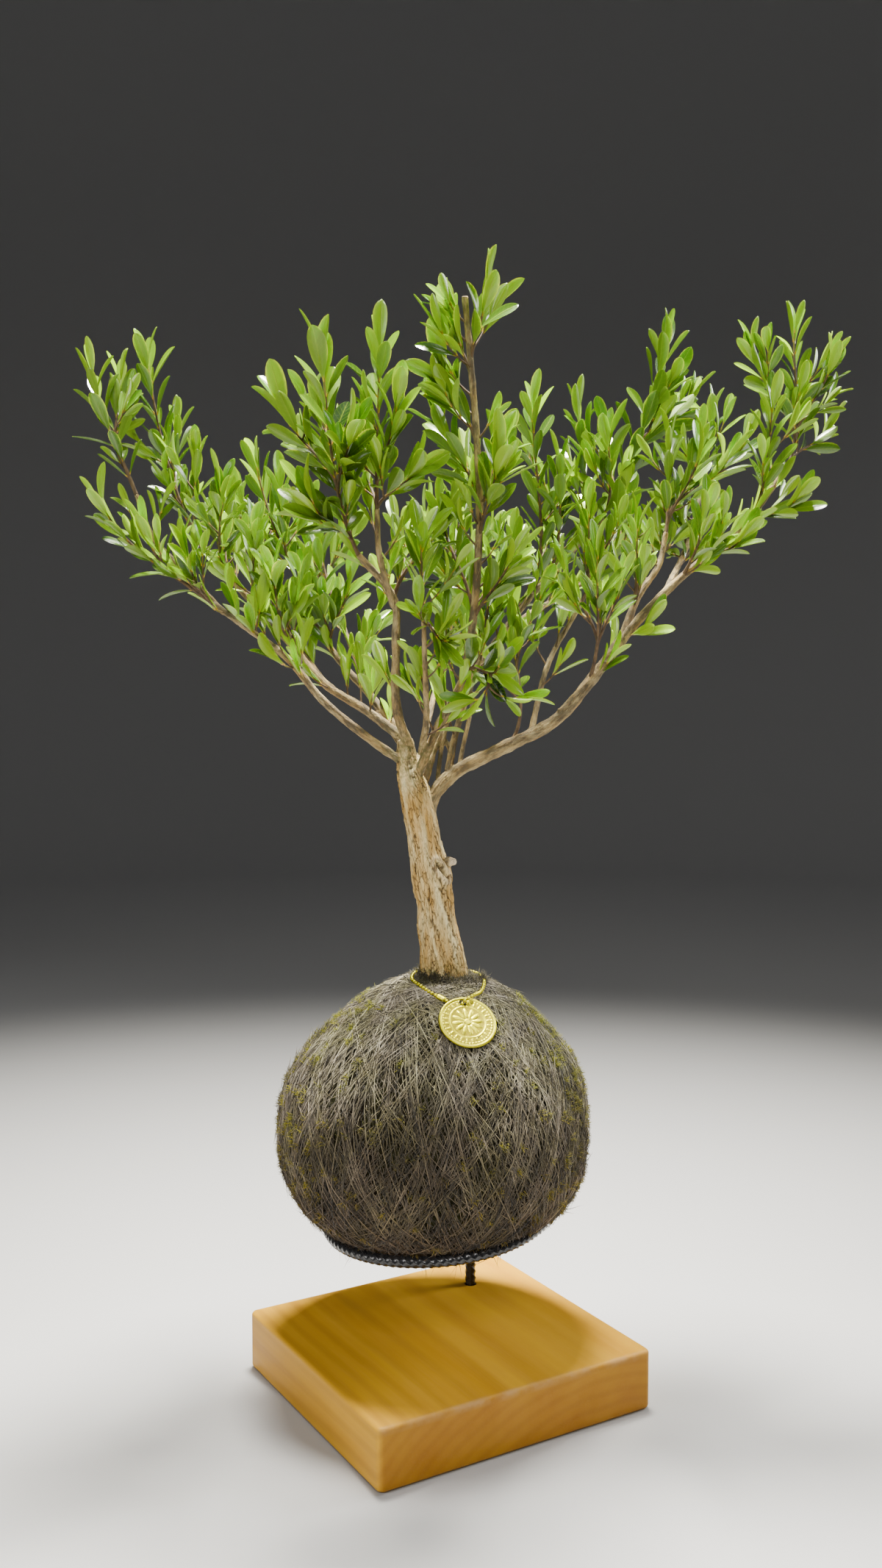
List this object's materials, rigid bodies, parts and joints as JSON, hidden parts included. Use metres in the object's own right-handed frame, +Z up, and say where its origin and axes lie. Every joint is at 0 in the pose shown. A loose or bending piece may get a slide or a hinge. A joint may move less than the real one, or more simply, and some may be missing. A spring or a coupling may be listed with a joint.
{
  "type": "kokedama moss ball plant",
  "caption": "Small leafy tree rooted in a thread-wound moss ball, with a medallion on a bead chain, carried by an iron ring stand on a wooden block.",
  "frame": {"origin": "middle of the wooden block's underside", "axes": "+Z up; +X and +Y along the block's edges; the plant's front, as pictured, faces -Y turned 30.7 degrees towards -X"},
  "size_m": [0.4086, 0.2721, 0.6152],
  "materials": {
    "stained_wood": "satin",
    "black_steel": "gloss",
    "moss": "matte",
    "thread": "matte",
    "bark": "matte",
    "leaf": "satin",
    "brass": "satin"
  },
  "bodies": {
    "root": {"wooden_base": "stained_wood", "stand_ring": "black_steel", "stand_post": "black_steel", "moss_ball": "moss", "winding_thread": "thread", "trunk_and_limbs": "bark", "medallion": "brass", "bead_chain": "brass", "spray_left_low_end": "leaf", "spray_left_fork_end": "leaf", "spray_left_high_end": "leaf", "spray_left_high_1": "leaf", "spray_left_high_2": "leaf", "spray_left_high_3": "leaf", "spray_left_high_4": "leaf", "spray_left_high_5": "leaf", "spray_left_back_end": "leaf", "spray_left_back_low": "leaf", "spray_left_back_mid": "leaf", "spray_centre_end": "leaf", "spray_centre_right_end": "leaf", "spray_centre_low": "leaf", "spray_front_end": "leaf", "spray_front_low": "leaf", "spray_tall_1": "leaf", "spray_tall_2": "leaf", "spray_tall_3": "leaf", "spray_tall_4": "leaf", "spray_tall_5": "leaf", "spray_tall_6": "leaf", "spray_tall_7": "leaf", "spray_tall_8": "leaf", "spray_rear_end": "leaf", "spray_rear_1": "leaf", "spray_rear_2": "leaf", "spray_rear_3": "leaf", "spray_rear_4": "leaf", "spray_right_slender_end": "leaf", "spray_right_inner_end": "leaf", "spray_right_1": "leaf", "spray_right_2": "leaf", "spray_right_high_end": "leaf", "spray_right_high_1": "leaf", "spray_right_high_2": "leaf", "spray_right_low_end": "leaf", "spray_right_low_1": "leaf", "spray_right_low_2": "leaf", "spray_right_low_3": "leaf", "spray_right_low_4": "leaf", "spray_behind_left_end": "leaf", "spray_behind_left_low": "leaf", "spray_behind_middle_end": "leaf", "spray_behind_middle_low": "leaf", "spray_behind_right_end": "leaf", "spray_behind_right_low": "leaf", "spray_behind_far_left_end": "leaf", "spray_behind_far_right_end": "leaf"}
  },
  "joints": []
}
